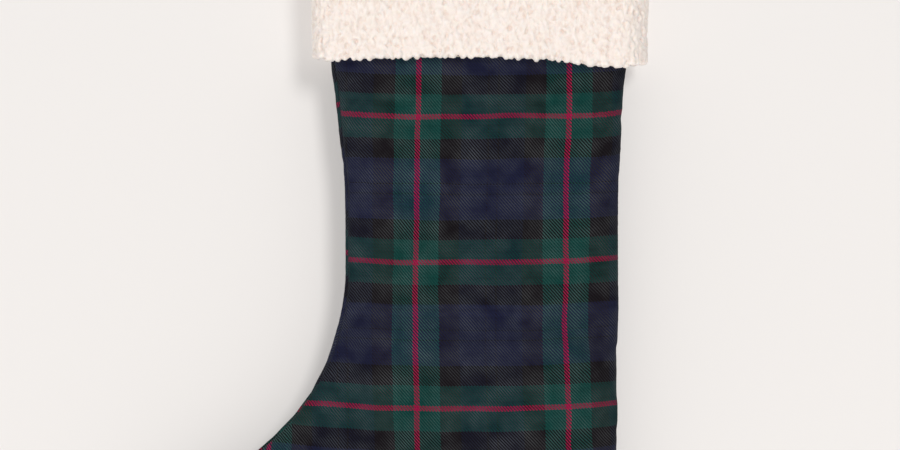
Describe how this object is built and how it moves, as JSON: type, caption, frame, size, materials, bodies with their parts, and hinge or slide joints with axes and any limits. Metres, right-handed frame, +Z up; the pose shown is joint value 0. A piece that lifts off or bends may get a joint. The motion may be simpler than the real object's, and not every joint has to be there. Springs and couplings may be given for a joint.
{
  "type": "hanging stocking",
  "caption": "Lined tartan Christmas stocking with a deep turned-down fleece cuff, a swelling leg mouth, a rounded toe and heel, and a fabric loop at the heel side for a hook",
  "frame": {"origin": "Middle of the hanging loop's eye, on the axis of the hook or peg that carries the stocking", "axes": "+Z up along the leg, -Y out of the front panel, +X towards the heel side, so the toe points to -X"},
  "size_m": [0.3331, 0.048, 0.5933],
  "materials": {
    "tartan_cloth": "brushed 2/2 twill in dark green, navy and black with narrow red lines",
    "cream_fleece": "curly short-pile sherpa fleece, warm cream",
    "lining_cloth": "plain woven lining, warm cream",
    "interlining_felt": "soft needled felt",
    "cream_thread": "spun sewing thread",
    "dark_thread": "spun sewing thread"
  },
  "bodies": {
    "stocking": {"front_panel": "tartan_cloth", "back_panel": "tartan_cloth", "panel_seam_thread": "dark_thread", "front_interlining": "interlining_felt", "back_interlining": "interlining_felt", "front_lining": "lining_cloth", "back_lining": "lining_cloth", "lining_seam_thread": "cream_thread", "cuff_front": "cream_fleece", "cuff_back": "cream_fleece", "cuff_facing_front": "lining_cloth", "cuff_facing_back": "lining_cloth", "cuff_side_seam_thread": "cream_thread", "cuff_hem_thread": "cream_thread", "mouth_seam_thread": "cream_thread", "loop_tail": "tartan_cloth", "loop_tack_thread": "dark_thread"},
    "hanging_loop": {"loop_strip": "tartan_cloth", "loop_edge_thread": "dark_thread"}
  },
  "joints": [
    {"name": "loop_bend", "type": "hinge", "parent": "stocking", "child": "hanging_loop", "pos_m": [0, 0, -0.0595], "axis": [0, 1, 0], "range_deg": [-90, 75], "stiffness_Nm_per_rad": 0.01}
  ]
}
